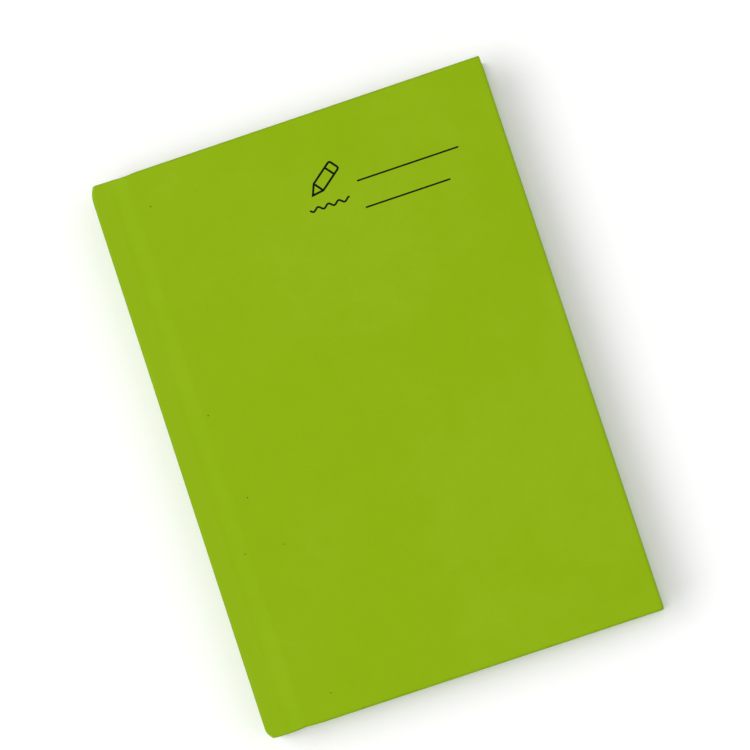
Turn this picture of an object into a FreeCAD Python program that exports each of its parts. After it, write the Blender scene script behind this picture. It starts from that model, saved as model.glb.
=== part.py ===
"""A6 hardcover pocket notebook, case bound, lying closed on its back cover.

The book block is 80 leaves sewn in 8 sections of 5 folded sheets. The case is two greyboard covers and a
spine board wrapped in a lime covering sheet, with a pressed hinge groove beside the spine on both faces.

Frame: millimetres. +X runs from the spine to the fore-edge, +Y from the tail to the head, +Z up through
the book. The origin is the middle of the back cover's outer face. Each STEP file is one node, named after
the physical piece.
"""

import FreeCAD
import Part
import os

# ---- driving dimensions --------------------------------------------------------------------------
COVER_WIDTH = 106.0          # over the spine and the fore-edge
COVER_HEIGHT = 149.0         # head to tail
SQUARE = 3.0                 # how far the covers stand proud of the pages
SECTION_COUNT = 8
SHEETS_PER_SECTION = 5       # folded sheets, so 10 leaves a section

PAPER = 0.10                 # thickness of one leaf
LEAF_PITCH = 0.105           # leaf to leaf, with the air between them
FOLD_GAP = 0.24              # opening at the centre of a section, which the sewing thread fills
ENDPAPER = 0.12
MULL = 0.10                  # gauze that ties the block to the case
LINING = 0.15                # paper glued over the gauze
COVERING = 0.30              # the lime covering sheet
COVER_BOARD = 2.0
SPINE_BOARD = 1.5
CLEARANCE = 0.03             # between pieces that move past each other
HINGE_GAP = 0.1              # flyleaf's inner edge to the plane of the folds

GROOVE_END = 10.5            # outer face of the spine to the cover board's inner edge
GROOVE_BOTTOM = 5.6          # outer face of the spine to the lowest line of the hinge groove
GROOVE_DEPTH = 0.9
TURN_IN = 14.0               # how far the covering folds over onto the inside of the boards
MULL_FLAP = 18.0             # how far the gauze reaches onto a cover board
MULL_SHORT = 8.0             # how far the flap stops short of the pages' head and tail
MULL_SPINE_SHORT = 5.0       # the same for the gauze on the back of the block
MULL_LAP = 0.1               # how far that gauze stands past the outer sections
LINING_SHORT = 3.0
LINING_INSET = 0.3           # edge of the lining to the face of the outer section
PASTE_INSET = 2.0            # edge of a pasted endpaper to the edge of its cover
PASTE_START = 1.2            # plane of the folds to a pasted endpaper's inner edge

HINGE_START = 0.7            # outer face of the spine to where the hinge's covering starts
RIDGE_DROP = 0.3             # the spine's edge lies this far below the face of the cover
EDGE_ROUND = 0.6             # outer edges of the covered boards
FORE_CORNER = 0.8            # corners of the covers at the fore-edge, seen from above
HEAD_WEAR = (1.1, 4.2)       # worn corner of the spine at the head, seen from above: reach in X and in Y
TAIL_WEAR = (1.25, 3.0)

THREAD_RADIUS = 0.10
NEEDLE_HOLE_RADIUS = 0.18
STITCH_COUNT = 3             # stitches along each fold
STITCH_LENGTH = 30.0
STITCH_PITCH = 42.0
BAND_RADIUS = 0.75           # rolled bead of the head and tail bands
BAND_TAPE = 1.3              # how far a band's tape reaches down the back of the block

# ---- sizes that follow ---------------------------------------------------------------------------
COVER_THICKNESS = COVERING + COVER_BOARD + ENDPAPER
SPINE_DEPTH = COVER_THICKNESS + CLEARANCE      # so that the open book's covers lie level with the folds
SECTION_THICKNESS = 2 * SHEETS_PER_SECTION * LEAF_PITCH + FOLD_GAP
BLOCK_START = SPINE_DEPTH + ENDPAPER + 0.01    # underside of the lowest section
BLOCK_END = BLOCK_START + SECTION_COUNT * SECTION_THICKNESS
BOOK_THICKNESS = BLOCK_START + BLOCK_END

X_SPINE = -COVER_WIDTH / 2
X_FORE = COVER_WIDTH / 2
X_FOLD = X_SPINE + SPINE_DEPTH                 # plane that the section folds touch
X_PAGE = X_FORE - SQUARE
X_BOARD = X_SPINE + GROOVE_END
X_HINGE = X_SPINE + HINGE_START
X_GROOVE = X_SPINE + GROOVE_BOTTOM
HALF_HEIGHT = COVER_HEIGHT / 2
HALF_PAGE = HALF_HEIGHT - SQUARE
HALF_BOARD = HALF_HEIGHT - COVERING

COVER_INSIDE = BOOK_THICKNESS - COVERING - COVER_BOARD      # inner face of the front board
BOARD_TOP = BOOK_THICKNESS - COVERING
SPINE_LAP = RIDGE_DROP + COVERING + 3 * CLEARANCE           # face of the book to the spine's long edge

# depths inward from the outer face of the spine
SPINE_BOARD_END = COVERING + SPINE_BOARD
SPINE_TURN_END = SPINE_BOARD_END + COVERING
MULL_END = SPINE_DEPTH - 0.02
MULL_FACE = MULL_END - MULL
LINING_FACE = MULL_FACE - LINING


# ---- small builders ------------------------------------------------------------------------------
def box(x0, x1, y0, y1, z0, z1):
    return Part.makeBox(x1 - x0, y1 - y0, z1 - z0, FreeCAD.Vector(x0, y0, z0))


def cylinder(radius, start, direction, length):
    return Part.makeCylinder(radius, length, FreeCAD.Vector(*start), FreeCAD.Vector(*direction))


def round_edges(shape, radius, wanted):
    """Fillets the straight edges whose two end points both satisfy wanted(point)."""
    edges = [e for e in shape.Edges if all(wanted(v.Point) for v in e.Vertexes)]
    return shape.makeFillet(radius, edges)


def along_y(edges, y0, y1):
    """Extrudes a closed outline in the XZ plane from y0 to y1."""
    face = Part.Face(Part.Wire(edges))
    face.translate(FreeCAD.Vector(0, y0, 0))
    return face.extrude(FreeCAD.Vector(0, y1 - y0, 0))


def point(x, z):
    return FreeCAD.Vector(x, 0, z)


def worn_corner(start, bend, end):
    """Curve from start to end that heads for bend first."""
    curve = Part.BezierCurve()
    curve.setPoles([start, bend, end])
    return curve.toShape()


def worn_block(inset, x_end, z0, z1):
    """Block as tall as the book, shrunk by `inset`, with its corners at the spine worn to a curve."""
    x, half = X_SPINE + inset, HALF_HEIGHT - inset
    head_x, head_y = x + HEAD_WEAR[0] - inset / 2, half - HEAD_WEAR[1]
    tail_x, tail_y = x + TAIL_WEAR[0] - inset / 2, -half + TAIL_WEAR[1]
    corners = [FreeCAD.Vector(*place, z0) for place in (
        (x, tail_y), (x, head_y), (head_x, half), (x_end, half), (x_end, -half), (tail_x, -half))]
    edges = [Part.makeLine(corners[n], corners[n + 1]) for n in (0, 2, 3, 4)]
    edges.insert(1, worn_corner(corners[1], FreeCAD.Vector(x, (head_y + half) / 2, z0), corners[2]))
    edges.append(worn_corner(corners[5], FreeCAD.Vector(x, (tail_y - half) / 2, z0), corners[0]))
    return Part.Face(Part.Wire(edges)).extrude(FreeCAD.Vector(0, 0, z1 - z0))


def mirrored(shape):
    """The same piece on the other cover: up and down swapped about the middle of the book."""
    return shape.mirror(FreeCAD.Vector(0, 0, BOOK_THICKNESS / 2), FreeCAD.Vector(0, 0, 1))


def at_both_ends(shape):
    """A piece at the head and the same piece at the tail."""
    return [shape, shape.mirror(FreeCAD.Vector(0, 0, 0), FreeCAD.Vector(0, 1, 0))]


def near(value, target):
    return abs(value - target) < 1e-6


# ---- front cover ---------------------------------------------------------------------------------
def front_mull_flap():
    start = X_BOARD + 0.5
    half = HALF_PAGE - MULL_SHORT
    return box(start, start + MULL_FLAP, -half, half, COVER_INSIDE, COVER_INSIDE + MULL)


def turn_in_window():
    """Space inside the turned-in edges, on the inner face of the board."""
    half = HALF_HEIGHT - TURN_IN
    return box(X_BOARD, X_FORE - TURN_IN, -half, half, COVER_INSIDE, COVER_INSIDE + COVERING)


def front_board():
    """Greyboard, pressed thinner where the turned-in covering and the gauze lie on its inner face."""
    fore = X_FORE - COVERING
    board = box(X_BOARD, fore, -HALF_BOARD, HALF_BOARD, COVER_INSIDE, BOARD_TOP)
    board = round_edges(board, EDGE_ROUND - COVERING, lambda p: near(p.z, BOARD_TOP) and near(p.x, fore))
    pressed = box(X_BOARD, X_FORE, -HALF_HEIGHT, HALF_HEIGHT, COVER_INSIDE, COVER_INSIDE + COVERING)
    return board.cut(pressed.cut(turn_in_window())).cut(front_mull_flap())


def groove_curve(drop):
    """Line of the hinge's covering, `drop` below its outer face: a low ridge, then a valley."""
    top = BOOK_THICKNESS - drop
    down, up = X_GROOVE - X_HINGE, X_BOARD - X_GROOVE
    fall = GROOVE_DEPTH - RIDGE_DROP
    valley = Part.BSplineCurve()
    valley.interpolate([
        point(X_HINGE, top - RIDGE_DROP),
        point(X_HINGE + 0.35 * down, top - RIDGE_DROP - 0.1 * fall),
        point(X_HINGE + 0.71 * down, top - RIDGE_DROP - 0.5 * fall),
        point(X_GROOVE, top - GROOVE_DEPTH),
        point(X_GROOVE + 0.53 * up, top - 0.55 * GROOVE_DEPTH),
        point(X_BOARD, top),
    ])
    return valley.toShape()


def groove_strip(depth, y0, y1):
    """Covering between the spine's edge and the board, `depth` thick."""
    top, edge = BOOK_THICKNESS, BOOK_THICKNESS - RIDGE_DROP
    ends = [Part.makeLine(point(X_HINGE, edge), point(X_HINGE, edge - depth)),
            Part.makeLine(point(X_BOARD, top), point(X_BOARD, top - depth))]
    return along_y([ends[0], groove_curve(depth), ends[1], groove_curve(0)], y0, y1)


def front_covering():
    """Covering of the front board, turned in at its edges, and the hinge groove beside the spine."""
    shell = box(X_BOARD, X_FORE, -HALF_HEIGHT, HALF_HEIGHT, COVER_INSIDE, BOOK_THICKNESS)
    shell = round_edges(shell, FORE_CORNER, lambda p: near(p.x, X_FORE) and near(p.y, HALF_HEIGHT))
    shell = round_edges(shell, FORE_CORNER, lambda p: near(p.x, X_FORE) and near(p.y, -HALF_HEIGHT))
    rim = [e for e in shell.Edges
           if all(near(v.Z, BOOK_THICKNESS) for v in e.Vertexes)
           and not all(near(v.X, X_BOARD) for v in e.Vertexes)]
    shell = shell.makeFillet(EDGE_ROUND, rim)
    panel = shell.cut(front_board()).cut(turn_in_window()).cut(front_mull_flap())
    groove = groove_strip(COVERING, -HALF_HEIGHT, HALF_HEIGHT)
    past_spine = box(X_SPINE + SPINE_TURN_END + CLEARANCE, X_BOARD, 0, HALF_HEIGHT, 0, BOOK_THICKNESS)
    doubled = groove_strip(2 * COVERING, HALF_HEIGHT - TURN_IN, HALF_HEIGHT).common(past_spine)
    outline = worn_block(0, X_FORE, 0, BOOK_THICKNESS)
    return panel.fuse([groove] + at_both_ends(doubled)).common(outline).removeSplitter()


def front_pastedown():
    """Endpaper glued over the inside of the board, reaching into the hinge."""
    half = HALF_HEIGHT - PASTE_INSET
    return box(X_FOLD + PASTE_START, X_FORE - PASTE_INSET, -half, half,
               COVER_INSIDE - ENDPAPER, COVER_INSIDE)


def front_flyleaf():
    """Free half of the endpaper."""
    top = BOOK_THICKNESS - SPINE_DEPTH
    return box(X_FOLD + HINGE_GAP, X_PAGE, -HALF_PAGE, HALF_PAGE, top - ENDPAPER, top)


# ---- spine ---------------------------------------------------------------------------------------
def spine_outline(inset, end):
    """Block with the outer shape of the spine, shrunk by `inset`, `end` deep from its outer face."""
    bottom = SPINE_LAP + inset
    top = BOOK_THICKNESS - bottom
    face = X_SPINE + inset
    block = box(face, X_SPINE + end, -HALF_HEIGHT, HALF_HEIGHT, bottom, top)
    for height in (bottom, top):
        block = round_edges(block, EDGE_ROUND - inset, lambda p: near(p.x, face) and near(p.z, height))
    return block.common(worn_block(inset, X_SPINE + end, bottom, top))


def spine_board():
    return spine_outline(COVERING, SPINE_BOARD_END)


def spine_covering():
    """Covering round the spine board and over its long edges, turned in at head and tail."""
    shell = spine_outline(0, SPINE_TURN_END)
    half = HALF_HEIGHT - TURN_IN
    hollow = box(X_SPINE + SPINE_BOARD_END, X_FOLD, -half, half, 0, BOOK_THICKNESS)
    return shell.cut(spine_board()).cut(hollow)


def spine_lining():
    half = HALF_PAGE - LINING_SHORT
    return box(X_SPINE + LINING_FACE, X_SPINE + MULL_FACE, -half, half,
               BLOCK_START + LINING_INSET, BLOCK_END - LINING_INSET)


def spine_mull():
    half = HALF_PAGE - MULL_SPINE_SHORT
    return box(X_SPINE + MULL_FACE, X_SPINE + MULL_END, -half, half,
               BLOCK_START - MULL_LAP, BLOCK_END + MULL_LAP)


def head_band():
    """Rolled bead across the end of the folds, on a tape glued to the back of the block."""
    low, high = BLOCK_START + 0.1, BLOCK_END - 0.1
    centre = (X_FOLD + 0.55, HALF_PAGE + BAND_RADIUS + 0.05, low)
    bead = cylinder(BAND_RADIUS, centre, (0, 0, 1), high - low)
    tape = box(X_FOLD - 0.25, X_FOLD - 0.05, HALF_PAGE - BAND_TAPE, centre[1], low, high)
    return bead.fuse(tape).removeSplitter()


# ---- book block ----------------------------------------------------------------------------------
def section_middle(index):
    """Height of a section's centre fold. Section 1 is under the front cover."""
    return BLOCK_END - (index - 0.5) * SECTION_THICKNESS


def fold_centre():
    return X_FOLD + SECTION_THICKNESS / 2


def stitch_ends():
    first = -STITCH_PITCH * (STITCH_COUNT - 1) / 2
    middles = [first + STITCH_PITCH * n for n in range(STITCH_COUNT)]
    return [(m - STITCH_LENGTH / 2, m + STITCH_LENGTH / 2) for m in middles]


def half_circle(x, z, radius):
    """Half circle about (x, z) in the XZ plane, on the side of the spine."""
    return Part.Arc(point(x, z + radius), point(x - radius, z), point(x, z - radius)).toShape()


def folded_sheet(middle, nest):
    """One sheet folded round those inside it, pierced for the thread; nest 0 is the innermost."""
    inner = FOLD_GAP / 2 + LEAF_PITCH * nest
    outer = inner + PAPER
    x = fold_centre()
    edges = [
        Part.makeLine(point(X_PAGE, middle + outer), point(x, middle + outer)),
        half_circle(x, middle, outer),
        Part.makeLine(point(x, middle - outer), point(X_PAGE, middle - outer)),
        Part.makeLine(point(X_PAGE, middle - outer), point(X_PAGE, middle - inner)),
        Part.makeLine(point(X_PAGE, middle - inner), point(x, middle - inner)),
        half_circle(x, middle, inner),
        Part.makeLine(point(x, middle + inner), point(X_PAGE, middle + inner)),
        Part.makeLine(point(X_PAGE, middle + inner), point(X_PAGE, middle + outer)),
    ]
    sheet = along_y(edges, -HALF_PAGE, HALF_PAGE)
    holes = [cylinder(NEEDLE_HOLE_RADIUS, (X_FOLD, y, middle), (1, 0, 0), x - X_FOLD)
             for ends in stitch_ends() for y in ends]
    return sheet.cut(Part.makeCompound(holes))


def section(index):
    middle = section_middle(index)
    return [folded_sheet(middle, nest) for nest in range(SHEETS_PER_SECTION)]


def stitch(middle, y0, y1):
    """A staple-shaped run of thread: along the inside of the fold, both ends out through the holes."""
    x = fold_centre()
    run = cylinder(THREAD_RADIUS, (x, y0, middle), (0, 1, 0), y1 - y0)
    ends = [cylinder(THREAD_RADIUS, (X_FOLD, y, middle), (1, 0, 0), x - X_FOLD) for y in (y0, y1)]
    knees = [Part.makeSphere(THREAD_RADIUS, FreeCAD.Vector(x, y, middle)) for y in (y0, y1)]
    return run.fuse(ends + knees)


def thread(index):
    middle = section_middle(index)
    return [stitch(middle, y0, y1) for y0, y1 in stitch_ends()]


# ---- nodes ---------------------------------------------------------------------------------------
def pieces():
    """Node name to its list of solids."""
    nodes = {
        "spine_board": [spine_board()],
        "spine_covering": [spine_covering()],
        "spine_lining": [spine_lining()],
        "spine_mull": [spine_mull()],
    }
    nodes["head_band"], nodes["tail_band"] = ([s] for s in at_both_ends(head_band()))
    cover = {"board": front_board(), "covering": front_covering(), "pastedown": front_pastedown(),
             "mull_flap": front_mull_flap(), "flyleaf": front_flyleaf()}
    for name, shape in cover.items():
        nodes["front_" + name] = [shape]
        nodes["back_" + name] = [mirrored(shape)]
    for index in range(1, SECTION_COUNT + 1):
        nodes["section_%d" % index] = section(index)
        nodes["sewing_thread_%d" % index] = thread(index)
    return nodes


def main():
    os.makedirs("parts", exist_ok=True)
    for name, shapes in pieces().items():
        solids = [s for shape in shapes for s in shape.Solids]
        whole = solids[0] if len(solids) == 1 else Part.makeCompound(solids)
        whole.exportStep("parts/%s.step" % name)
        bound = whole.BoundBox
        print("%-18s %2d solid(s) valid %s  x %.2f..%.2f  y %.2f..%.2f  z %.2f..%.2f" % (
            name, len(solids), whole.isValid(), bound.XMin, bound.XMax, bound.YMin, bound.YMax,
            bound.ZMin, bound.ZMax))


main()
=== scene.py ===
import math
import random

import bmesh
import bpy
import numpy as np
from mathutils import Matrix, Vector


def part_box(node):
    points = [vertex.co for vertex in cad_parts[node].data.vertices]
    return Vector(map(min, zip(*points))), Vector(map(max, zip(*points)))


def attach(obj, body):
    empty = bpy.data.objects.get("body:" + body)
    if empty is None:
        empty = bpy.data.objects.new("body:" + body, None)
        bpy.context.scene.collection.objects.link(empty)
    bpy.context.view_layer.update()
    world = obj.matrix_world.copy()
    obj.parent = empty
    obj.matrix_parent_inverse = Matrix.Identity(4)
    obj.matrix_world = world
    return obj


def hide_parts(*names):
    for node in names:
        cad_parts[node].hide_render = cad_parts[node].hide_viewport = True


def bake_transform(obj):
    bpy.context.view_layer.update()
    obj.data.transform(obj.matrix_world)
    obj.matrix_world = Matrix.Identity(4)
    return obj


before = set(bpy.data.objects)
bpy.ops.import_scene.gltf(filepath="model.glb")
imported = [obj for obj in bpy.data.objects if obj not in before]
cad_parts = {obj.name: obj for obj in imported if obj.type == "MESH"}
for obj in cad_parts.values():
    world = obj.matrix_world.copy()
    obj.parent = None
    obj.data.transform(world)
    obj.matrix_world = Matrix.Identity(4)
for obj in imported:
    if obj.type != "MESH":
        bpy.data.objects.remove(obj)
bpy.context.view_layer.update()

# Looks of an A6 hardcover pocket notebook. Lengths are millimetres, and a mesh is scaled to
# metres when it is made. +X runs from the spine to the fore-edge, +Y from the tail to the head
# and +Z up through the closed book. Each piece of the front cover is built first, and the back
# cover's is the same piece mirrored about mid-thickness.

MM = 0.001


def extent(node):
    """Lowest and highest corner of a CAD node, in millimetres."""
    low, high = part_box(node)
    return low / MM, high / MM


# ---- sizes from the frame --------------------------------------------------------------------
COVER_HIGH = extent("front_covering")[1]
BOARD_LOW, BOARD_HIGH = extent("front_board")
SPINE_LOW, SPINE_HIGH = extent("spine_covering")
PASTE_HIGH = extent("front_pastedown")[1]
FLY_LOW, FLY_HIGH = extent("front_flyleaf")
SECTION_LOW, SECTION_HIGH = extent("section_1")

THICK = COVER_HIGH.z                 # the closed book
HALF = COVER_HIGH.y                  # half of the cover's height
X_SPINE = SPINE_LOW.x                # outer face of the spine
X_SPINE_IN = SPINE_HIGH.x            # inner face of the spine
X_BOARD = BOARD_LOW.x                # inner edge of the cover board
X_FORE = COVER_HIGH.x
INSIDE = BOARD_LOW.z                 # inner face of the front cover
COVERING = THICK - BOARD_HIGH.z      # thickness of the covering sheet
HALF_PAGE = SECTION_HIGH.y
X_PAGE = SECTION_HIGH.x
X_FOLD = SECTION_LOW.x
SECTION = SECTION_HIGH.z - SECTION_LOW.z
ENDPAPER = FLY_HIGH.z - FLY_LOW.z

# ---- shape of the case -----------------------------------------------------------------------
TURN_IN = 14.0                       # how far the covering folds over inside the covers
RIDGE_DROP = 0.3                     # the ridge beside the spine lies this far below the cover
RIDGE_END = 1.2                      # distances from the outer face of the spine
GROOVE_BOTTOM = 5.7
GROOVE_END = 10.6
GROOVE_DEPTH = 0.86
SINE_SHARE, SMOOTH_SHARE = 0.7, 0.3  # the slope into the groove is a mixture of two curves
GROOVE_DIP = 0.2                     # the covering is this much shorter at the groove's ends
DIP_START, DIP_RISE = 6, 3           # where that begins, and over what length it comes on
DIP_END, DIP_FALL = 10, 2.5          # where it starts to end, and over what length it goes
SPINE_BEND = 0.9                     # radius of the covering round the spine's long edges
EDGE_ROUND = 0.6                     # outer edges of the covers
STEP_ROUND = 0.16                    # ends of the spine's covering under the hinge's
INNER_ROUND = 0.35
ROUND_LIMIT = 0.48                   # a rounding takes at most this share of the depth
HEAD_CORNER, TAIL_CORNER = 0.4, 0.8  # corners at the fore-edge, seen from above
HEAD_WEAR = (1.1, 4.2)               # worn corners of the spine: depth in X and length in Y
TAIL_WEAR = (1.25, 3.0)
WEAR_WIDTH = 2.3                     # the wear fades out over this distance from the spine's face
LIFT = 0.25                          # the ends of the spine's long edges are worn shorter too,
LIFT_LENGTH, LIFT_WIDTH = 2.0, 1.8   # over this much in Y and in X
SHEET = 0.28                         # the covering's thickness, a little under its gap
SINGLE = COVERING + 0.02             # depth of the hinge's covering where it is one layer
FOLDED = 0.62                        # and where it is folded over, in two

Z_BEND = THICK - RIDGE_DROP - SPINE_BEND     # the covering starts to turn over the spine's edge
Z_SEAM = Z_BEND - 0.5                # the hinge's covering meets the spine's on its flat face


def smooth(value):
    value = min(1.0, max(0.0, value))
    return value * value * (3 - 2 * value)


def hinge_depth(distance):
    """How far the covering lies below the cover's face, by distance from the spine's face."""
    if distance < GROOVE_BOTTOM:
        share = max(0.0, (distance - RIDGE_END) / (GROOVE_BOTTOM - RIDGE_END))
        fallen = SINE_SHARE * math.sin(share * math.pi / 2) + SMOOTH_SHARE * smooth(share)
        return RIDGE_DROP + (GROOVE_DEPTH - RIDGE_DROP) * fallen
    return GROOVE_DEPTH * (1 - smooth((distance - GROOVE_BOTTOM) / (GROOVE_END - GROOVE_BOTTOM)))


def worn_corner(x, y):
    """Where a point near a corner of the spine has moved to, since the corners are worn round."""
    depth, reach = HEAD_WEAR if y > 0 else TAIL_WEAR
    share = max(0.0, (abs(y) - (HALF - reach)) / reach)
    inward = depth * share ** 2 * (1 - smooth((x - X_SPINE) / WEAR_WIDTH))
    near_end = smooth((abs(y) - (HALF - LIFT_LENGTH)) / LIFT_LENGTH)
    lift = LIFT * near_end * max(0.0, 1 - (x - X_SPINE) / LIFT_WIDTH) ** 2
    return x + inward, y - math.copysign(lift, y)


def half_lengths(x):
    """How far the covering reaches to the head and to the tail at x. It dips at the groove, and
    its corners at the fore-edge are rounded."""
    begun = smooth((x - X_SPINE - DIP_START) / DIP_RISE)
    ended = smooth((x - X_SPINE - DIP_END) / DIP_FALL)
    dip = GROOVE_DIP * begun * (1 - ended)
    reaches = []
    for radius in (HEAD_CORNER, TAIL_CORNER):
        past = max(0.0, x - (X_FORE - radius))
        rounded = math.sqrt(max(0.0, radius ** 2 - past ** 2))
        reaches.append(HALF - dip - radius + rounded)
    return reaches


# ---- mesh helpers ----------------------------------------------------------------------------
SHARP_ANGLE = 35                     # degrees
MERGE_DISTANCE, COLLAPSED = 1e-7, 1e-8       # metres
MITRE_LIMIT = 0.5
DOME_STEPS = (30, 60, 84)            # degrees


def make_piece(name, points, faces, material, values=None, sharp=SHARP_ANGLE):
    """A closed mesh from points in millimetres. `values` are per-point numbers that its
    material reads."""
    mesh = bpy.data.meshes.new(name)
    mesh.from_pydata([Vector(p) * MM for p in points], [], faces)
    for key, numbers in (values or {}).items():
        mesh.attributes.new(key, "FLOAT", "POINT").data.foreach_set("value", numbers)
    piece = bpy.data.objects.new(name, mesh)
    bpy.context.scene.collection.objects.link(piece)
    tidy_mesh(mesh)
    finish_mesh(piece, sharp)
    mesh.materials.append(material)
    return piece


def tidy_mesh(mesh):
    """Merges points that coincide, drops faces that collapsed, and turns all faces outward."""
    bm = bmesh.new()
    bm.from_mesh(mesh)
    bmesh.ops.remove_doubles(bm, verts=bm.verts, dist=MERGE_DISTANCE)
    bmesh.ops.dissolve_degenerate(bm, edges=bm.edges, dist=COLLAPSED)
    bmesh.ops.delete(bm, geom=[v for v in bm.verts if not v.link_faces], context="VERTS")
    bmesh.ops.recalc_face_normals(bm, faces=bm.faces)
    bm.to_mesh(mesh)
    bm.free()


def finish_mesh(piece, sharp):
    """Smooth shading with sharp edges by angle, and each point's rest place for the materials."""
    mesh = piece.data
    mesh.polygons.foreach_set("use_smooth", [True] * len(mesh.polygons))
    mesh.set_sharp_from_angle(angle=math.radians(sharp))
    rest = mesh.attributes.get("rest") or mesh.attributes.new("rest", "FLOAT_VECTOR", "POINT")
    rest.data.foreach_set("vector", np.array([v.co / MM for v in mesh.vertices], float).ravel())
    mesh.update()


def thicken(piece, thickness):
    """Turns an open sheet whose faces look outward into a closed solid, grown inward."""
    solid = piece.modifiers.new("thickness", "SOLIDIFY")
    solid.thickness = thickness * MM
    solid.offset = -1
    solid.use_quality_normals = True
    graph = bpy.context.evaluated_depsgraph_get()
    made = bpy.data.meshes.new_from_object(piece.evaluated_get(graph))
    piece.modifiers.clear()
    old = piece.data
    made.name = old.name
    piece.data = made
    bpy.data.meshes.remove(old)
    finish_mesh(piece, SHARP_ANGLE)
    return piece


def on_side(side, points):
    """The points as they are for the front cover, or mirrored for the back one."""
    return points if side == "front" else [(x, y, THICK - z) for x, y, z in points]


def grid_faces(rows, columns, wrap=False):
    """Quads of a grid whose points are stored row after row; wrap joins the last column to the
    first."""
    faces = []
    for i in range(rows - 1):
        row, above = i * columns, (i + 1) * columns
        for j in range(columns if wrap else columns - 1):
            k = (j + 1) % columns
            faces.append((row + j, row + k, above + k, above + j))
    return faces


def slab(path, normals, thickness, rows):
    """Points and faces of a closed sheet: `path` and `normals` in XZ are its middle line, `rows`
    its places in Y. A row is (y, shift), where shift moves the two ends of the path in X."""
    points, count = [], len(path)
    for out in (thickness / 2, -thickness / 2):
        for y, shift in rows:
            for n, ((x, z), (nx, nz)) in enumerate(zip(path, normals)):
                end = shift[0] if n == 0 else shift[1] if n == count - 1 else 0.0
                points.append((x + nx * out + end, y, z + nz * out))
    size = len(rows) * count
    faces = grid_faces(len(rows), count)
    faces += [tuple(size + i for i in reversed(face)) for face in faces]
    last = len(rows) - 1
    rim = list(range(count))
    rim += [i * count + count - 1 for i in range(1, len(rows))]
    rim += [last * count + j for j in range(count - 2, -1, -1)]
    rim += [i * count for i in range(last - 1, 0, -1)]
    for n, a in enumerate(rim):
        b = rim[(n + 1) % len(rim)]
        faces.append((b, a, a + size, b + size))
    return points, faces


def path_normals(path):
    """Unit normals of a line in XZ, to the left of its direction."""
    normals = []
    for n in range(len(path)):
        a, b = path[max(0, n - 1)], path[min(len(path) - 1, n + 1)]
        length = math.hypot(b[0] - a[0], b[1] - a[1])
        normals.append((-(b[1] - a[1]) / length, (b[0] - a[0]) / length))
    return normals


def tube(line, wide, high, sides=10, closed=False):
    """Points and faces of a rounded stroke or thread along a line of 3-D points in one XY plane:
    `wide` across in that plane and `high` along Z. Open ends are domed."""
    line = [Vector(p) for p in line]
    rings, count = [], len(line)
    for n, p in enumerate(line):
        before = line[n - 1] if n or closed else None
        after = line[(n + 1) % count] if n < count - 1 or closed else None
        arrive = (p - before).normalized() if before else (after - p).normalized()
        leave = (after - p).normalized() if after else arrive
        along = (arrive + leave).normalized()
        across = Vector((0, 0, 1)).cross(along).normalized()
        stretch = 1 / max(MITRE_LIMIT, along.dot(leave))
        rings.append((p, along, across * stretch, along.cross(across)))
    if not closed:
        for place, sign in ((0, -1), (-1, 1)):
            p, along, across, up = rings[place]
            dome = []
            for a in (math.radians(degrees) for degrees in DOME_STEPS):
                centre = p + along * sign * wide / 2 * math.sin(a)
                dome.append((centre, along, across * math.cos(a), up * math.cos(a)))
            rings = dome[::-1] + rings if sign < 0 else rings + dome
    points = []
    for p, _, across, up in rings:
        for s in range(sides):
            a = 2 * math.pi * s / sides
            points.append(p + across * math.cos(a) * wide / 2 + up * math.sin(a) * high / 2)
    faces = grid_faces(len(rings), sides, wrap=True)
    last = (len(rings) - 1) * sides
    if closed:
        faces += [(last + s, last + (s + 1) % sides, (s + 1) % sides, s) for s in range(sides)]
    else:
        faces += [tuple(reversed(range(sides))), tuple(range(last, last + sides))]
    return points, faces


def merged(parts):
    """Several (points, faces) as one."""
    points, faces = [], []
    for some_points, some_faces in parts:
        start = len(points)
        points += [tuple(p) for p in some_points]
        faces += [tuple(i + start for i in face) for face in some_faces]
    return points, faces


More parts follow.
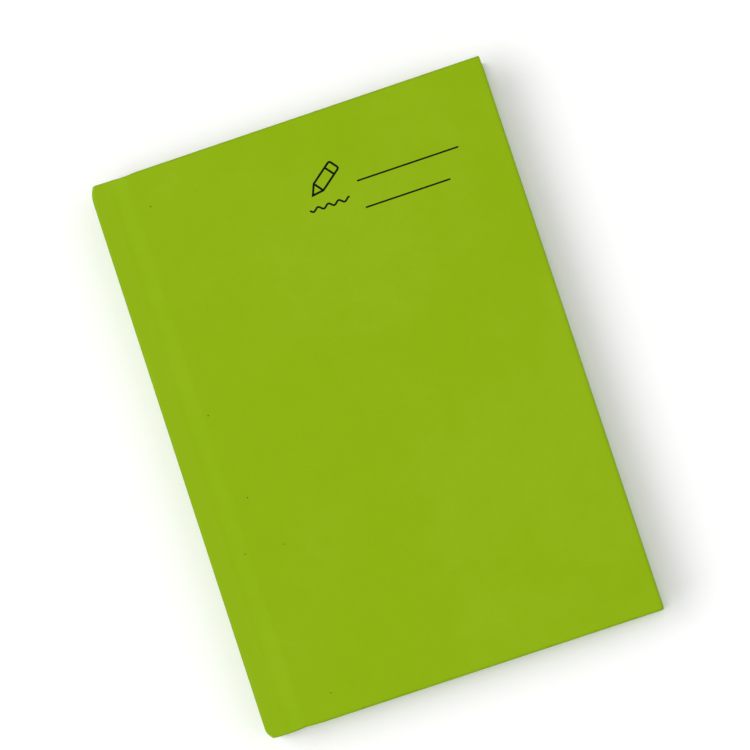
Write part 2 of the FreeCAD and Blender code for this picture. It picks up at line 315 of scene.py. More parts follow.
# ---- materials -------------------------------------------------------------------------------
class Shader:
    """A material being built. Its textures are placed in millimetres."""

    def __init__(self, name, cad=False):
        self.material = bpy.data.materials.new(name)
        self.material.use_nodes = True
        self.tree = self.material.node_tree
        self.surface = self.tree.nodes["Principled BSDF"]
        if cad:
            inputs = {0: self.add("ShaderNodeTexCoord").outputs["Object"], "Scale": 1 / MM}
            self.place = self.add("ShaderNodeVectorMath", inputs, operation="SCALE").outputs[0]
        else:
            self.place = self.read("rest", "Vector")

    def add(self, kind, inputs=None, **settings):
        node = self.tree.nodes.new(kind)
        for key, value in settings.items():
            setattr(node, key, value)
        for key, value in (inputs or {}).items():
            if isinstance(value, bpy.types.NodeSocket):
                self.tree.links.new(value, node.inputs[key])
            else:
                node.inputs[key].default_value = value
        return node

    def read(self, attribute, output="Fac"):
        return self.add("ShaderNodeAttribute", attribute_name=attribute).outputs[output]

    def split(self):
        return self.add("ShaderNodeSeparateXYZ", {0: self.place}).outputs

    def stretched(self, scale):
        inputs = {0: self.place, 1: scale}
        return self.add("ShaderNodeVectorMath", inputs, operation="MULTIPLY").outputs[0]

    def noise(self, size, detail=2.0, place=None, rough=0.5):
        """Noise between 0 and 1 whose features are about `size` millimetres."""
        inputs = {"Vector": place or self.place, "Scale": 1 / size, "Detail": detail,
                  "Roughness": rough}
        return self.add("ShaderNodeTexNoise", inputs).outputs["Fac"]

    def cells(self, size):
        """Distance to the centre of the nearest cell; cells are about `size` millimetres."""
        inputs = {"Vector": self.place, "Scale": 1 / size}
        return self.add("ShaderNodeTexVoronoi", inputs).outputs["Distance"]

    def scattered(self, size):
        """Cells of about `size` millimetres spread over the outside of the case: the distance to
        the nearest centre, and a tone for each cell."""
        x, y, z = self.split()
        spread = self.add("ShaderNodeCombineXYZ", {0: self.maths("ADD", x, z), 1: y}).outputs[0]
        inputs = {"Vector": spread, "Scale": 1 / size}
        cell = self.add("ShaderNodeTexVoronoi", inputs, voronoi_dimensions="2D")
        return cell.outputs["Distance"], cell.outputs["Color"]

    def maths(self, operation, a, b=0.0, clamp=False):
        inputs = {0: a, 1: b}
        return self.add("ShaderNodeMath", inputs, operation=operation, use_clamp=clamp).outputs[0]

    def remap(self, value, low, high, to_low=0.0, to_high=1.0):
        """A smooth step: `to_low` where the value is at or below `low`, `to_high` from `high`."""
        inputs = {"Value": value, "From Min": low, "From Max": high, "To Min": to_low,
                  "To Max": to_high}
        return self.add("ShaderNodeMapRange", inputs, interpolation_type="SMOOTHSTEP").outputs[0]

    def mix(self, factor, a, b):
        a = (*a, 1.0) if isinstance(a, tuple) else a
        b = (*b, 1.0) if isinstance(b, tuple) else b
        return self.add("ShaderNodeMix", {0: factor, 6: a, 7: b}, data_type="RGBA").outputs[2]

    def bump(self, height, depth, below=None):
        """Adds relief of `depth` millimetres."""
        inputs = {"Height": height, "Distance": depth * MM, "Strength": 1.0}
        if below:
            inputs["Normal"] = below
        return self.add("ShaderNodeBump", inputs).outputs[0]

    def finish(self, colour, roughness, normal=None, specular=0.3):
        inputs = {"Base Color": colour, "Roughness": roughness, "Normal": normal,
                  "Specular IOR Level": specular}
        for key, value in inputs.items():
            if isinstance(value, bpy.types.NodeSocket):
                self.tree.links.new(value, self.surface.inputs[key])
            elif value is not None:
                self.surface.inputs[key].default_value = value
        return self.material


def shade(tone, share):
    return tuple(c * share for c in tone)


def covering_material():
    """Smooth lime covering: fine grain and soft mottling, a painted highlight on the ridge
    beside the spine, painted shade along the edges and a few dark specks near the spine."""
    base, light, deep = (0.228, 0.378, 0.0018), (0.238, 0.389, 0.0045), (0.218, 0.366, 0.0011)
    grained, ridge_light_tone = (0.203, 0.342, 0.001), (0.238, 0.389, 0.0048)
    # The darker edge tone is painted shade.
    edge_shade_tone, speck_tone = (0.165, 0.285, 0.001), (0.04, 0.055, 0.008)
    s = Shader("lime_covering")
    x, y, z = s.split()
    mottle = s.remap(s.noise(34, 3.0), 0.38, 0.66)
    cloud = s.remap(s.noise(9, 4.0, rough=0.62), 0.35, 0.7)
    grain = s.noise(0.45, 3.0, rough=0.6)
    colour = s.mix(mottle, base, light)
    colour = s.mix(s.maths("MULTIPLY", cloud, 0.45), colour, deep)
    colour = s.mix(s.remap(grain, 0.3, 0.75, 0.0, 0.25), colour, grained)

    # Painted highlight: the ridge is lightened to offset the shade on its slope.
    past_bend = s.remap(x, X_SPINE + 0.9, X_SPINE + 1.7, 0.0, 0.8)
    before_groove = s.remap(x, X_SPINE + 4.0, X_SPINE + 6.0, 1.0, 0.0)
    colour = s.mix(s.maths("MULTIPLY", past_bend, before_groove), colour, ridge_light_tone)

    # Painted shade: on the spine's rounded long edges, and in patches round all edges.
    from_middle = s.maths("ABSOLUTE", s.maths("SUBTRACT", z, THICK / 2))
    by_spine = s.remap(x, X_SPINE + 0.15, X_SPINE + 0.8, 1.0, 0.0)
    by_face = s.remap(from_middle, THICK / 2 - 1.6, THICK / 2 - 0.7, 0.0, 0.3)
    spine_edge_shade = s.maths("MULTIPLY", by_spine, by_face)
    patches = s.remap(s.noise(2.2, 3.0), 0.42, 0.7, 0.3, 0.8)
    painted_edge_shade = s.maths("MULTIPLY", s.read("edge"), patches)
    colour = s.mix(s.maths("ADD", painted_edge_shade, spine_edge_shade, clamp=True), colour, edge_shade_tone)

    centre, tone = s.scattered(13.0)
    dot, chosen = s.remap(centre, 0.010, 0.022, 1.0, 0.0), s.remap(tone, 0.66, 0.68)
    near_spine = s.remap(x, X_SPINE + 14, X_SPINE + 30, 1.0, 0.0)
    speck = s.maths("MULTIPLY", s.maths("MULTIPLY", dot, chosen), near_spine)
    colour = s.mix(s.maths("MULTIPLY", speck, 0.7), colour, speck_tone)

    relief = s.bump(grain, 0.012)
    relief = s.bump(s.cells(0.9), 0.006, relief)
    relief = s.bump(s.noise(16, 2.0), 0.08, relief)
    relief = s.bump(s.noise(4, 2.0, s.stretched((1.0, 0.22, 1.0))), 0.035, relief)
    roughness = s.remap(s.noise(5, 3.0), 0.3, 0.7, 0.54, 0.64)
    return s.finish(colour, roughness, relief, specular=0.06)


RULE_PITCH = 6.5
FIRST_RULE = 58.0                    # place of the first line in Y
RULE_HALF, RULE_FADE = 0.11, 0.08    # half of a line's width, and its soft border
TAIL_MARGIN = 8
RULE_TONE = (0.36, 0.44, 0.50)


def paper_material(name, tone, ruled):
    """Uncoated paper with fine fibres, and on the pages pale ruled lines with a margin."""
    s = Shader(name)
    fibre = s.noise(0.5, 4.0, s.stretched((1.0, 0.35, 1.0)), 0.65)
    colour = s.mix(s.remap(fibre, 0.3, 0.75, 0.0, 0.45), tone, shade(tone, 0.9))
    colour = s.mix(s.remap(s.noise(14, 3.0), 0.35, 0.7, 0.0, 0.4), colour, shade(tone, 0.96))
    if ruled:
        colour = s.mix(s.maths("MULTIPLY", s.read("leaf"), 0.5), colour, shade(tone, 0.78))
        y = s.split()[1]
        from_line = s.maths("PINGPONG", s.maths("SUBTRACT", FIRST_RULE, y), RULE_PITCH / 2)
        line = s.remap(from_line, RULE_HALF, RULE_HALF + RULE_FADE, 1.0, 0.0)
        below_head = s.maths("LESS_THAN", y, FIRST_RULE + 1)
        above_tail = s.maths("GREATER_THAN", y, -HALF_PAGE + TAIL_MARGIN)
        shown = s.maths("MULTIPLY", line, s.maths("MULTIPLY", below_head, above_tail))
        shown = s.maths("MULTIPLY", shown, s.read("face"))
        colour = s.mix(s.maths("MULTIPLY", shown, 0.7), colour, RULE_TONE)
    return s.finish(colour, 0.82, s.bump(fibre, 0.008), specular=0.2)


def greyboard_material():
    """Pressed grey board with fibres and darker flecks."""
    dark, pale, fleck = (0.20, 0.18, 0.155), (0.30, 0.275, 0.24), (0.12, 0.11, 0.10)
    s = Shader("grey_board", cad=True)
    fibre = s.noise(0.6, 5.0, s.stretched((1.0, 0.3, 2.5)), 0.7)
    colour = s.mix(s.remap(fibre, 0.3, 0.7), dark, pale)
    colour = s.mix(s.remap(s.cells(1.4), 0.08, 0.2, 0.6, 0.0), colour, fleck)
    return s.finish(colour, 0.9, s.bump(fibre, 0.05), specular=0.15)


def gauze_material():
    """Open plain weave."""
    tone, pitch = (0.78, 0.76, 0.70), 0.8
    s = Shader("mull_gauze", cad=True)
    x, y, z = s.split()
    warp = s.maths("SINE", s.maths("MULTIPLY", y, 2 * math.pi / pitch))
    weft = s.maths("SINE", s.maths("MULTIPLY", s.maths("ADD", x, z), 2 * math.pi / pitch))
    height = s.maths("MAXIMUM", warp, weft)
    colour = s.mix(s.remap(height, -0.4, 0.6), shade(tone, 0.35), tone)
    colour = s.mix(s.remap(s.noise(0.3, 3.0), 0.3, 0.7, 0.0, 0.35), colour, shade(tone, 0.75))
    return s.finish(colour, 0.85, s.bump(height, 0.04), specular=0.2)


def kraft_material():
    dark, pale = (0.40, 0.31, 0.20), (0.52, 0.42, 0.29)
    s = Shader("kraft_lining", cad=True)
    fibre = s.noise(0.7, 5.0, s.stretched((1.0, 0.25, 1.0)), 0.7)
    colour = s.mix(s.remap(fibre, 0.3, 0.7), dark, pale)
    return s.finish(colour, 0.88, s.bump(fibre, 0.02), specular=0.2)


def band_material():
    """Head band: wrapped threads in lime and white."""
    white, lime, between = (0.78, 0.77, 0.71), (0.26, 0.43, 0.03), (0.30, 0.34, 0.16)
    s = Shader("striped_band")
    colour = s.mix(s.remap(s.read("stripe"), 0.45, 0.55), white, lime)
    strand = s.noise(0.12, 3.0, s.stretched((1.0, 1.0, 4.0)))
    colour = s.mix(s.remap(strand, 0.3, 0.7, 0.0, 0.4), colour, between)
    return s.finish(colour, 0.6, s.bump(strand, 0.02), specular=0.4)


def thread_material():
    pale, dark = (0.80, 0.77, 0.68), (0.62, 0.58, 0.48)
    s = Shader("waxed_linen")
    twist = s.noise(0.15, 3.0, s.stretched((3.0, 1.0, 3.0)))
    colour = s.mix(s.remap(twist, 0.3, 0.7), pale, dark)
    return s.finish(colour, 0.55, s.bump(twist, 0.02), specular=0.4)


def ink_material():
    """Printed black: a thin, slightly uneven film."""
    full, thin = (0.0015, 0.002, 0.001), (0.005, 0.007, 0.002)
    s = Shader("black_print")
    film = s.noise(0.35, 3.0, rough=0.6)
    colour = s.mix(s.remap(film, 0.35, 0.75), full, thin)
    roughness = s.remap(film, 0.3, 0.7, 0.6, 0.75)
    return s.finish(colour, roughness, s.bump(film, 0.004), specular=0.06)


def floor_material():
    """Pale floor that fades into the white background far from the book, so that no horizon
    shows."""
    dull, bright, white = (0.925, 0.925, 0.925), (0.935, 0.935, 0.935), (1.0, 1.0, 1.0, 1.0)
    s = Shader("pale_floor", cad=True)
    tone = s.mix(s.remap(s.noise(60, 3.0), 0.35, 0.7), dull, bright)
    length = s.add("ShaderNodeVectorMath", {0: s.place}, operation="LENGTH")
    seen = s.add("ShaderNodeLightPath").outputs["Is Camera Ray"]
    glow = s.maths("MULTIPLY", s.remap(length.outputs["Value"], 300, 900), seen)
    s.surface.inputs["Emission Color"].default_value = white
    s.tree.links.new(glow, s.surface.inputs["Emission Strength"])
    return s.finish(tone, 0.9, specular=0.1)


LIME = covering_material()
PAGE = paper_material("page_paper", (0.80, 0.775, 0.695), ruled=True)
ENDSHEET = paper_material("endpaper", (0.79, 0.79, 0.765), ruled=False)
GREYBOARD = greyboard_material()
GAUZE = gauze_material()
KRAFT = kraft_material()
BAND = band_material()
THREAD = thread_material()
INK = ink_material()


# ---- the covering ----------------------------------------------------------------------------
ROW_PLACES = [0, 8, 16, 24, 32, 40, 48, 55, HALF - TURN_IN, 64, 67, 69, 70.5, 71.5, 72.3, 72.9,
              73.4]                  # from the middle towards the head or the tail
CAP_STEPS = 4                        # faces round each edge of the covering
INNER_EDGE_SHADE = 0.2                      # how much painted shade the inner edges get, where 1 is the most
QUARTER = [math.radians(degrees) for degrees in range(0, 91, 15)]


def half_ring(deep, half, rounding):
    """Half of a ring round the covering, from its middle to one edge and back along the inner
    face: place in Y, depth from the outer face, and how much painted shade the point gets."""
    limit = deep * ROUND_LIMIT
    round_out, round_in = min(rounding, limit), min(INNER_ROUND, limit)
    scale = (half - round_out) / (HALF - EDGE_ROUND)
    face = [place * scale for place in ROW_PLACES] + [half - round_out]
    profile = [(y, 0.0, 0.0) for y in face]
    angles = [math.pi / 2 * step / CAP_STEPS for step in range(CAP_STEPS + 1)]
    # The rounded outer edge gets painted shade, most halfway round it.
    for a in angles[1:]:
        y = half - round_out + round_out * math.sin(a)
        profile.append((y, round_out * (1 - math.cos(a)), math.sin(2 * a)))
    for a in angles:
        y = half - round_in + round_in * math.cos(a)
        profile.append((y, deep - round_in + round_in * math.sin(a), INNER_EDGE_SHADE))
    return profile + [(y, deep, 0.0) for y in reversed(face[:-1])]


def wrap_loop(outer, inner, halves, rounding=EDGE_ROUND):
    """Closed ring round the covering at one place along its path: outer face, head edge, inner
    face, tail edge. `outer` and `inner` are in XZ, and `halves` are its reaches to the head and
    to the tail. Gives each point, and how much painted shade it gets."""
    across = Vector(inner) - Vector(outer)
    deep = across.length
    head, tail = (half_ring(deep, half, rounding) for half in halves)
    ring = head + [(-y, depth, edge_shading) for y, depth, edge_shading in reversed(tail[1:-1])]
    made = []
    for y, depth, edge_shading in ring:
        place = Vector(outer) + across * (depth / deep)
        made.append(((*worn_corner(place.x, y), place.y), edge_shading))
    return made


def wrap(name, side, stations, window, close_start=False):
    """The covering as a solid sheet. `stations` are what wrap_loop takes, along its path. Faces
    of the inner layer where window(x, y) is true are left out. Its far end is bridged from outer
    to inner, and its near end can be."""
    loops = [wrap_loop(*station) for station in stations]
    count = len(loops[0])
    points = [point for loop in loops for point, edge_shading in loop]
    # Each point's painted edge shade, for the material's edge attribute.
    edge = [edge_shading for loop in loops for point, edge_shading in loop]
    first_inner = len(ROW_PLACES) + 2 * CAP_STEPS + 1
    last_inner = first_inner + 2 * len(ROW_PLACES)
    faces = []
    for face in grid_faces(len(loops), count, wrap=True):
        middle = sum((Vector(points[i]) for i in face), Vector()) / 4
        lies_inside = all(first_inner <= i % count <= last_inner for i in face)
        if not (lies_inside and window(middle.x, middle.y)):
            faces.append(face)
    if close_start:
        faces += end_faces(0, count)
    faces += end_faces((len(loops) - 1) * count, count)
    piece = make_piece(name, on_side(side, points), faces, LIME, {"edge": edge})
    return thicken(piece, SHEET)


def end_faces(start, count):
    """Quads across the ring, from its head edge to its tail edge: each joins two points on one
    face to their partners on the other."""
    head = len(ROW_PLACES) + CAP_STEPS
    faces = []
    for n in range(count // 2 - 1):
        a, b = (head - n) % count, (head - n - 1) % count
        c, d = (head + n + 2) % count, (head + n + 1) % count
        faces.append(tuple(start + i for i in (a, b, c, d)))
    return faces


def spine_stations():
    """Up the outer face of the spine, with a step at each seam, where the hinge's covering lies
    over the board."""
    middle = THICK / 2
    top = SPINE_HIGH.z - 0.1
    flat = (middle, middle + 2, middle + 4, Z_SEAM - 0.4, Z_SEAM)
    half = [((X_SPINE, z), (X_SPINE_IN, z)) for z in flat]
    step = X_SPINE + SHEET + 0.01
    shoulder = [(step, Z_SEAM - 0.02), (step, Z_BEND), (step + 0.08, Z_BEND + 0.25),
                (step + 0.25, top - 0.04), (step + 0.6, top), (step + 1.2, top)]
    inside = [(X_SPINE_IN, z) for z in (Z_SEAM + 0.1, Z_BEND, Z_BEND + 0.1, Z_BEND + 0.2)]
    inside += [(X_SPINE_IN - 0.04, top - 0.15), (X_SPINE_IN - 0.15, top - 0.02)]
    half += list(zip(shoulder, inside))
    lower = []
    for (outer_x, outer_z), (inner_x, inner_z) in reversed(half[1:]):
        lower.append(((outer_x, THICK - outer_z), (inner_x, THICK - inner_z)))
    stations = []
    for outer, inner in lower + half:
        rounding = EDGE_ROUND if outer[0] == X_SPINE else STEP_ROUND
        stations.append((outer, inner, (HALF, HALF), rounding))
    return stations


def cover_stations():
    """From the seam over the spine's edge, across the ridge and the groove, over the board and
    round the fore-edge."""
    stations = []

    def add(outer, inner):
        stations.append((outer, inner, half_lengths(outer[0])))

    for z in (Z_SEAM, Z_SEAM + 0.3):
        add((X_SPINE, z), (X_SPINE + SINGLE, z))
    centre = Vector((X_SPINE + SPINE_BEND, Z_BEND))
    for a in QUARTER:
        ray = Vector((-math.cos(a), math.sin(a)))
        add(tuple(centre + ray * SPINE_BEND), tuple(centre + ray * (SPINE_BEND - SINGLE)))

    distance, step, probe = 1.3, 0.5, 0.05
    while distance < GROOVE_END - 1.1:
        fall = hinge_depth(distance - probe) - hinge_depth(distance + probe)
        normal = Vector((-fall / (2 * probe), 1)).normalized()
        outer = Vector((X_SPINE + distance, THICK - hinge_depth(distance)))
        layers = FOLDED if outer.x > X_SPINE_IN + 0.1 else SINGLE
        add(tuple(outer), tuple(outer - normal * layers))
        distance += step

    edge = X_BOARD - COVERING
    turn = [(edge - 0.12, INSIDE + 1.35), (edge, INSIDE + 1.0), (edge, INSIDE + 0.3),
            (edge + 0.08, INSIDE + 0.08), (edge + 0.3, INSIDE)]
    for n, inner in enumerate(turn):
        distance = GROOVE_END - 0.95 + 0.25 * n
        add((X_SPINE + distance, THICK - hinge_depth(distance)), inner)

    flat = [X_BOARD + 1.2, X_BOARD + 3, *np.arange(X_BOARD + 7, X_FORE - 6, 6), X_FORE - TURN_IN,
            X_FORE - 6, X_FORE - 3, X_FORE - 1.6, X_FORE - 1.0]
    for x in sorted(set(flat)):
        add((x, THICK), (x, INSIDE))

    for a in QUARTER:
        outer_x = X_FORE - EDGE_ROUND + EDGE_ROUND * math.sin(a)
        outer_z = THICK - EDGE_ROUND + EDGE_ROUND * math.cos(a)
        inner_x = X_FORE - INNER_ROUND + INNER_ROUND * math.sin(a)
        inner_z = INSIDE + INNER_ROUND - INNER_ROUND * math.cos(a)
        add((outer_x, outer_z), (inner_x, inner_z))
    add((X_FORE, THICK - EDGE_ROUND - 0.3), (X_FORE, INSIDE + INNER_ROUND + 0.4))
    return stations


def spine_window(x, y):
    """Where the board shows between the parts turned in at head and tail."""
    return abs(y) < HALF - TURN_IN


def cover_window(x, y):
    """Where the board shows between the turned-in edges, and all along the spine's edge."""
    return x < X_SPINE_IN + 0.1 or (abs(y) < HALF - TURN_IN and x < X_FORE - TURN_IN)


def build_covering():
    spine = wrap("spine_wrap", "front", spine_stations(), spine_window, close_start=True)
    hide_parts("spine_covering")
    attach(spine, "spine")
    for side in ("front", "back"):
        sheet = wrap(side + "_wrap", side, cover_stations(), cover_window)
        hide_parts(side + "_covering")
        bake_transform(sheet)


# ---- endpapers -------------------------------------------------------------------------------
CLEARANCE = 0.04                     # between the pasted paper and the covering by the hinge
PAPER_RISE = 0.06                    # over the turned-in edges of the covering,
RISE_HALF = 1.2                      # within this distance either side of their rim
LEAF_COLUMNS = [0.9 + 0.6 * n for n in range(21)] + [14, 16, 20, 27, 38, 55, 75, 90, 99.8]
LEAF_ROWS = (-45, -15, 15, 45)
TRIM, ROW_TRIM = 0.07, 0.02          # unevenness of a trimmed leaf, in Y and in X


def hinge_paper_path():
    """The pasted endpaper: up from the fold, along under the groove, down the board's edge and
    over its inside."""
    thin = ENDPAPER / 2
    path = [(X_FOLD + 0.05, FLY_HIGH.z + 0.02), (X_FOLD + 0.02, FLY_HIGH.z + 0.45),
            (X_FOLD + 0.06, FLY_HIGH.z + 0.9), (X_FOLD + 0.25, FLY_HIGH.z + 1.2)]
    for distance in (3.2, 4.0, 4.8, 5.6, 6.4, 7.2):
        z = THICK - hinge_depth(distance) - FOLDED - CLEARANCE - thin
        path.append((X_SPINE + distance, z))
    edge = X_BOARD - COVERING - CLEARANCE - thin
    path += [(X_SPINE + 8.0, z + 0.05), (X_SPINE + 8.8, z + 0.02), (edge - 0.5, INSIDE + 0.75),
             (edge - 0.12, INSIDE + 0.4), (edge, INSIDE + 0.12),
             (edge + 0.22, INSIDE - thin + 0.01)]
    turned = X_FORE - TURN_IN
    flat = [X_BOARD + 1, X_BOARD + 4, *np.arange(X_BOARD + 10, PASTE_HIGH.x - TURN_IN, 9)]
    flat += [turned - 1.5, turned, turned + 1.5, X_FORE - 8, PASTE_HIGH.x]
    return path + [(x, INSIDE - thin) for x in flat]


def pasted_paper(side):
    """Pasted half of an endpaper. It stands slightly proud over the turned-in edges."""
    path = hinge_paper_path()
    high = PASTE_HIGH.y
    inset = HALF - TURN_IN
    places = [inset - 1.5, inset, inset + 1.5, 66, high - 0.4, high]
    rows = [-y for y in reversed(places)] + [-45, -30, -15, 0, 15, 30, 45] + places
    points, faces = slab(path, path_normals(path), ENDPAPER, [(y, (0, 0)) for y in rows])
    sunk = []
    for x, y, z in points:
        if x > X_BOARD and z < INSIDE - ENDPAPER / 2:
            from_rim = max(abs(y) - inset, x - (X_FORE - TURN_IN))
            z += PAPER_RISE * (1 - smooth((from_rim + RISE_HALF) / (2 * RISE_HALF)))
        sunk.append((x, y, z))
    name = side + "_endpaper_pasted"
    piece = make_piece(name, on_side(side, sunk), faces, ENDSHEET)
    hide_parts(side + "_pastedown")
    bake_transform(piece)


def leaf_rows(source):
    """Places in Y of a trimmed leaf, with a hair's breadth of unevenness at its ends."""
    top = HALF_PAGE + source.uniform(-TRIM, 0.0)
    bottom = -HALF_PAGE + source.uniform(0.0, TRIM)
    rows = []
    for y in (bottom, bottom + 0.5, *LEAF_ROWS, top - 0.5, top):
        rows.append((y, (source.uniform(-ROW_TRIM, 0.0), source.uniform(-ROW_TRIM, 0.0))))
    return rows


def bend_leaves(piece):
    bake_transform(piece)


def free_paper(side):
    """Free half of an endpaper, reaching out from the fold."""
    middle = (FLY_LOW.z + FLY_HIGH.z) / 2
    columns = [X_FOLD + distance for distance in (0.1, 0.5, *LEAF_COLUMNS)] + [X_PAGE]
    path = [(x, middle) for x in columns]
    rows = leaf_rows(random.Random(side))
    points, faces = slab(path, path_normals(path), ENDPAPER * 0.9, rows)
    name = side + "_endpaper_free"
    piece = make_piece(name, on_side(side, points), faces, ENDSHEET)
    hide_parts(side + "_flyleaf")
    bend_leaves(piece)


# ---- book block ------------------------------------------------------------------------------
SECTIONS = 8
SHEETS = 5                           # folded sheets in a section
LEAF = 0.09                          # thickness of a leaf
FOLD_GAP = 0.24                      # the sewing thread lies in it
LEAF_PITCH = 0.105                   # leaf to leaf beside the fold
SPREAD_LENGTH = 12                   # beyond it the leaves are spread evenly
SHEET_TRIM = 0.09                    # unevenness of the sheets at the fore-edge
BARE_X, BARE_Y = 0.2, 0.3            # ruled lines stop this short of a leaf's cut edges
STITCH_PITCH, STITCH_HALF = 42.0, 15.0
STITCH_BEND = 0.25
THREAD_WIDTH = 0.19


def sheet_path(nest):
    """Middle line of one folded sheet round height 0: along the upper leaf to the fold, and back
    along the lower. Away from the fold its leaves spread evenly, so that the block's edges are
    closed."""
    near_fold = FOLD_GAP / 2 + LEAF_PITCH * (nest + 0.5)
    far = SECTION / (2 * SHEETS) * (nest + 0.5)
    centre = X_FOLD + SECTION / 2
    upper = []
    for x in (X_FOLD + distance for distance in LEAF_COLUMNS):
        upper.append((x, near_fold + (far - near_fold) * smooth((x - centre) / SPREAD_LENGTH)))
    upper.append((X_PAGE, far))
    arc = []
    for a in (math.radians(degrees) for degrees in (0, 22, 44, 66)):
        arc.append((centre - near_fold * math.sin(a), near_fold * math.cos(a)))
    half = upper[::-1] + arc
    return half + [(centre - near_fold, 0.0)] + [(x, -z) for x, z in reversed(half)]


def section(index):
    """One section of folded sheets as separate sheets in one piece, and its sewing."""
    low, high = extent("section_%d" % index)
    middle = (low.z + high.z) / 2
    source = random.Random(index)
    parts, tint, face_mask = [], [], []
    for nest in range(SHEETS):
        path = sheet_path(nest)
        rows = leaf_rows(source)
        trims = source.uniform(-SHEET_TRIM, 0.0), source.uniform(-SHEET_TRIM, 0.0)
        rows = [(y, (a + trims[0], b + trims[1])) for y, (a, b) in rows]
        line = [(x, z + middle) for x, z in path]
        points, faces = slab(line, path_normals(path), LEAF, rows)
        tones = source.random(), source.random()
        for x, y, z in points:
            on_face = abs(y) < HALF_PAGE - BARE_Y and x < X_PAGE - BARE_X
            tint.append(tones[0] if z > middle else tones[1])
            face_mask.append(1.0 if on_face else 0.0)
        parts.append((points, faces))
    points, faces = merged(parts)
    values = {"leaf": tint, "face": face_mask}
    piece = make_piece("leaves_%d" % index, points, faces, PAGE, values)
    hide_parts("section_%d" % index)
    bend_leaves(piece)
    stitch_section(index, middle)


def stitch_section(index, middle):
    """Three stitches along the inside of the fold, each with both ends drawn out through it."""
    outside = extent("sewing_thread_%d" % index)[0].x + 0.1
    centre = X_FOLD + SECTION / 2
    before = centre - STITCH_BEND
    parts = []
    for n in (-1, 0, 1):
        y0, y1 = n * STITCH_PITCH - STITCH_HALF, n * STITCH_PITCH + STITCH_HALF
        line = [(outside, y0), (before, y0), (centre, y0 + STITCH_BEND)]
        line += [(centre + 0.02 * (k % 2), y0 + (y1 - y0) * k / 8) for k in range(1, 8)]
        line += [(centre, y1 - STITCH_BEND), (before, y1), (outside, y1)]
        parts.append(tube([(x, y, middle) for x, y in line], THREAD_WIDTH, THREAD_WIDTH, 8))
    points, faces = merged(parts)
    piece = make_piece("stitches_%d" % index, points, faces, THREAD)
    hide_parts("sewing_thread_%d" % index)
    bend_leaves(piece)


# ---- head and tail bands ---------------------------------------------------------------------
BEAD_RADIUS = 0.73
BEAD_INSET, BEAD_GAP = 0.75, 0.17    # from the band's edges in X and in Y
BEAD_END = 0.5                       # the bead's ends are rounded over this length
WRAPS, WRAP_STEPS, BEAD_SIDES = 30, 6, 14
WRAPS_A_STRIPE = 3
TAPE, TAPE_REACH = 0.16, 2.85        # thickness, and length from the band's outer edge


def end_band(name):
    """Head or tail band: a bead of wrapped thread on a tape, in alternating stripes."""
    low, high = extent(name)
    outward = 1 if high.y > 0 else -1
    edge = high.y if outward > 0 else low.y
    centre = (high.x - BEAD_INSET, edge - outward * (BEAD_RADIUS + BEAD_GAP))
    start, end = low.z, high.z
    steps = WRAPS * WRAP_STEPS
    points, stripes = [], []
    for n in range(steps + 1):
        share = n / steps
        z = start + (end - start) * share
        ridge = abs(math.sin(math.pi * WRAPS * share))
        to_end = min(share, 1 - share) * (end - start)
        dome = math.sqrt(max(0.02, 1 - max(0.0, 1 - to_end / BEAD_END) ** 2))
        size = BEAD_RADIUS * (0.9 + 0.1 * ridge) * dome
        stripe = 1.0 if int(share * WRAPS / WRAPS_A_STRIPE) % 2 else 0.0
        for s in range(BEAD_SIDES):
            a = 2 * math.pi * s / BEAD_SIDES
            points.append((centre[0] + size * math.cos(a), centre[1] + size * math.sin(a), z))
            stripes.append(stripe)
    faces = grid_faces(steps + 1, BEAD_SIDES, wrap=True)
    last = steps * BEAD_SIDES
    faces += [tuple(reversed(range(BEAD_SIDES))), tuple(range(last, last + BEAD_SIDES))]
    inner = edge - outward * TAPE_REACH
    outer = centre[1] + outward * 0.3
    tape_path = [(low.x + 0.1, z) for z in np.linspace(start, end, 12)]
    rows = [(y, (0, 0)) for y in sorted((inner, (inner + outer) / 2, outer))]
    tape_points, tape_faces = slab(tape_path, path_normals(tape_path), TAPE, rows)
    values = {"stripe": stripes + [0.0] * len(tape_points)}
    points, faces = merged([(points, faces), (tape_points, tape_faces)])
    piece = make_piece(name + "_cloth", points, faces, BAND, values, sharp=60)
    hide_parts(name)
    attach(piece, "spine")


# ---- the printed mark ------------------------------------------------------------------------
STROKE = 0.56
INK_HEIGHT = 0.05
PENCIL_LENGTH, PENCIL_HALF, PENCIL_TIP = 9.6, 1.5, 2.6
PENCIL_PLACE, PENCIL_TURN = (58.2, 17.6), 38         # across and down from the corner; degrees
PENCIL_ROUND, ROUND_MIDDLE = 0.5, 0.15               # its rounded end
PENCIL_BAND, LINE_INSET = 2.0, 0.1                   # the line across near that end
WAVE_START, WAVE_STEP, WAVE_LENGTH, WAVE_HEIGHT = (52.6, 24.2), 0.35, 2.8, 0.45
NAME_START = 66.5
NAME_LINES = ((20.6, 93.5), (27.8, 89.0))            # down, and where the line ends


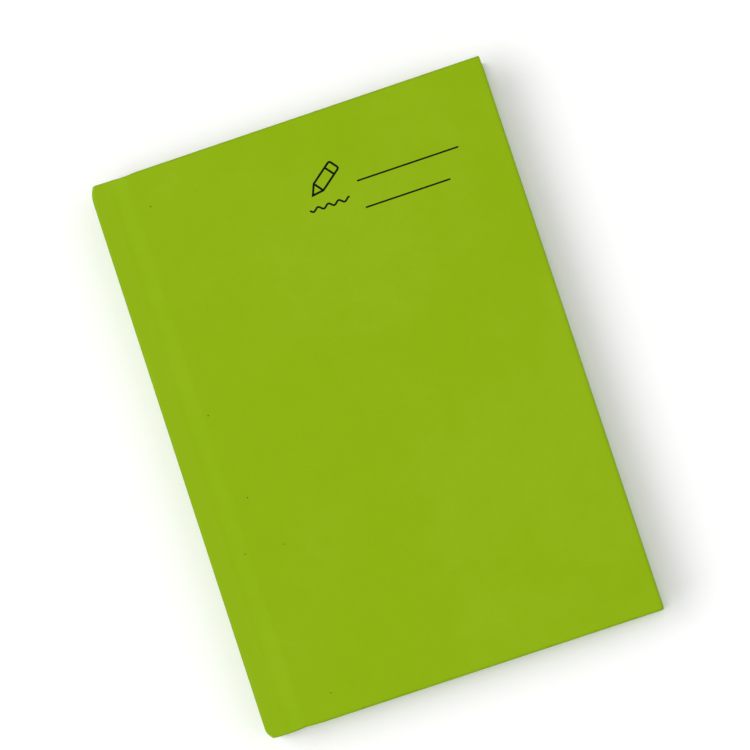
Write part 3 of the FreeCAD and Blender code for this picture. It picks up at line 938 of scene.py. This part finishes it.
def printed_mark():
    """A plain pencil outline with a wavy line under it, and two blank name lines beside it."""
    def place(across, down):
        return Vector((X_SPINE + across, HALF - down, THICK))

    strokes = []
    centre, turn = place(*PENCIL_PLACE), math.radians(PENCIL_TURN)
    half = PENCIL_HALF

    def pencil(points, closed=False):
        turned = []
        for along, across in points:
            x = along * math.cos(turn) - across * math.sin(turn)
            y = along * math.sin(turn) + across * math.cos(turn)
            turned.append(centre + Vector((x, y, 0)))
        strokes.append(tube(turned, STROKE, INK_HEIGHT, closed=closed))

    back, point = PENCIL_LENGTH / 2, -PENCIL_LENGTH / 2
    front = point + PENCIL_TIP
    straight, corner, side = back - PENCIL_ROUND, back - ROUND_MIDDLE, half - ROUND_MIDDLE
    pencil([(straight, half), (front, half), (point, 0), (front, -half), (straight, -half),
            (corner, -side), (back, -half + PENCIL_ROUND), (back, half - PENCIL_ROUND),
            (corner, side)], closed=True)
    for along in (back - PENCIL_BAND, front):
        pencil([(along, -half + LINE_INSET), (along, half - LINE_INSET)])

    wave = []
    for n in range(31):
        rise = WAVE_HEIGHT * math.sin(WAVE_STEP * n * 2 * math.pi / WAVE_LENGTH)
        wave.append(place(WAVE_START[0] + WAVE_STEP * n, WAVE_START[1] + rise))
    strokes.append(tube(wave, STROKE * 0.9, INK_HEIGHT))
    for down, reach in NAME_LINES:
        line = [place(NAME_START + (reach - NAME_START) * n / 10, down) for n in range(11)]
        strokes.append(tube(line, STROKE * 0.8, INK_HEIGHT))
    points, faces = merged(strokes)
    mark = make_piece("printed_mark", points, faces, INK)
    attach(mark, "front_cover")


# ---- pieces that keep their CAD shape --------------------------------------------------------
CAD_LOOKS = {"front_board": GREYBOARD, "back_board": GREYBOARD, "spine_board": GREYBOARD,
             "front_mull_flap": GAUZE, "back_mull_flap": GAUZE, "spine_mull": GAUZE,
             "spine_lining": KRAFT}


def dress_cad_nodes():
    for node, material in CAD_LOOKS.items():
        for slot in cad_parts[node].material_slots:
            slot.material = material


# ---- stage -----------------------------------------------------------------------------------
FLOOR_HALF = 6.0                     # metres
FLOOR_DROP = 0.00005
CAMERA_AIM = (2.1, 5.2, THICK)
CAMERA_DISTANCE = 1.0964             # metres
CAMERA_LEAN, CAMERA_SIDE, CAMERA_ROLL = 5.478, -54.18, 18.28     # degrees
LENS, SENSOR = 206.3, 36.0
CLIP_START, CLIP_END = 0.01, 20
SKY_LIGHT, SKY_SEEN = 0.75, 1.0      # the white world, as a light and as the background
SOFTBOXES = (("key", (-1.0, 0.12, 1.45), 1.5, 16.3), ("fill", (1.1, -0.3, 1.4), 1.6, 3.2))


def build_floor():
    corners = [(x * FLOOR_HALF, y * FLOOR_HALF, 0) for x, y in ((-1, -1), (1, -1), (1, 1), (-1, 1))]
    mesh = bpy.data.meshes.new("floor")
    mesh.from_pydata(corners, [], [(0, 1, 2, 3)])
    floor = bpy.data.objects.new("floor", mesh)
    bpy.context.scene.collection.objects.link(floor)
    mesh.materials.append(floor_material())
    floor.location.z = -FLOOR_DROP


def build_camera():
    """Almost straight above, leaning towards the corner of tail and fore-edge, with the book
    turned in the view."""
    aim = Vector(CAMERA_AIM) * MM
    lean, side, roll = (math.radians(a) for a in (CAMERA_LEAN, CAMERA_SIDE, CAMERA_ROLL))
    outward = math.sin(lean)
    back = Vector((outward * math.cos(side), outward * math.sin(side), math.cos(lean)))
    up = Vector((math.sin(roll), math.cos(roll), 0))
    right = up.cross(back).normalized()
    up = back.cross(right)
    data = bpy.data.cameras.new("camera")
    data.sensor_width = SENSOR
    data.lens = LENS
    data.clip_start = CLIP_START
    data.clip_end = CLIP_END
    camera = bpy.data.objects.new("camera", data)
    bpy.context.scene.collection.objects.link(camera)
    turned = Matrix((right, up, back)).transposed().to_4x4()
    camera.matrix_world = Matrix.Translation(aim + back * CAMERA_DISTANCE) @ turned
    bpy.context.scene.camera = camera


def add_softbox(name, place, size, power):
    data = bpy.data.lights.new(name, "AREA")
    data.shape = "DISK"
    data.size = size
    data.energy = power
    light = bpy.data.objects.new(name, data)
    bpy.context.scene.collection.objects.link(light)
    light.location = place
    light.rotation_mode = "QUATERNION"
    light.rotation_quaternion = (-Vector(place)).to_track_quat("-Z", "Y")


def build_light():
    world = bpy.data.worlds.new("studio")
    bpy.context.scene.world = world
    world.use_nodes = True
    tree = world.node_tree
    sky = tree.nodes["Background"]
    sky.inputs["Color"].default_value = (1.0, 1.0, 1.0, 1.0)
    seen = tree.nodes.new("ShaderNodeLightPath").outputs["Is Camera Ray"]
    strength = tree.nodes.new("ShaderNodeMapRange")
    tree.links.new(seen, strength.inputs["Value"])
    strength.inputs["To Min"].default_value = SKY_LIGHT
    strength.inputs["To Max"].default_value = SKY_SEEN
    tree.links.new(strength.outputs[0], sky.inputs["Strength"])
    for softbox in SOFTBOXES:
        add_softbox(*softbox)
    view = bpy.context.scene.view_settings
    view.view_transform = "Standard"
    view.look = "None"
    view.exposure = 0.0


build_covering()
for side in ("front", "back"):
    pasted_paper(side)
    free_paper(side)
for index in range(1, SECTIONS + 1):
    section(index)
for band in ("head_band", "tail_band"):
    end_band(band)
printed_mark()
dress_cad_nodes()
build_floor()
build_camera()
build_light()
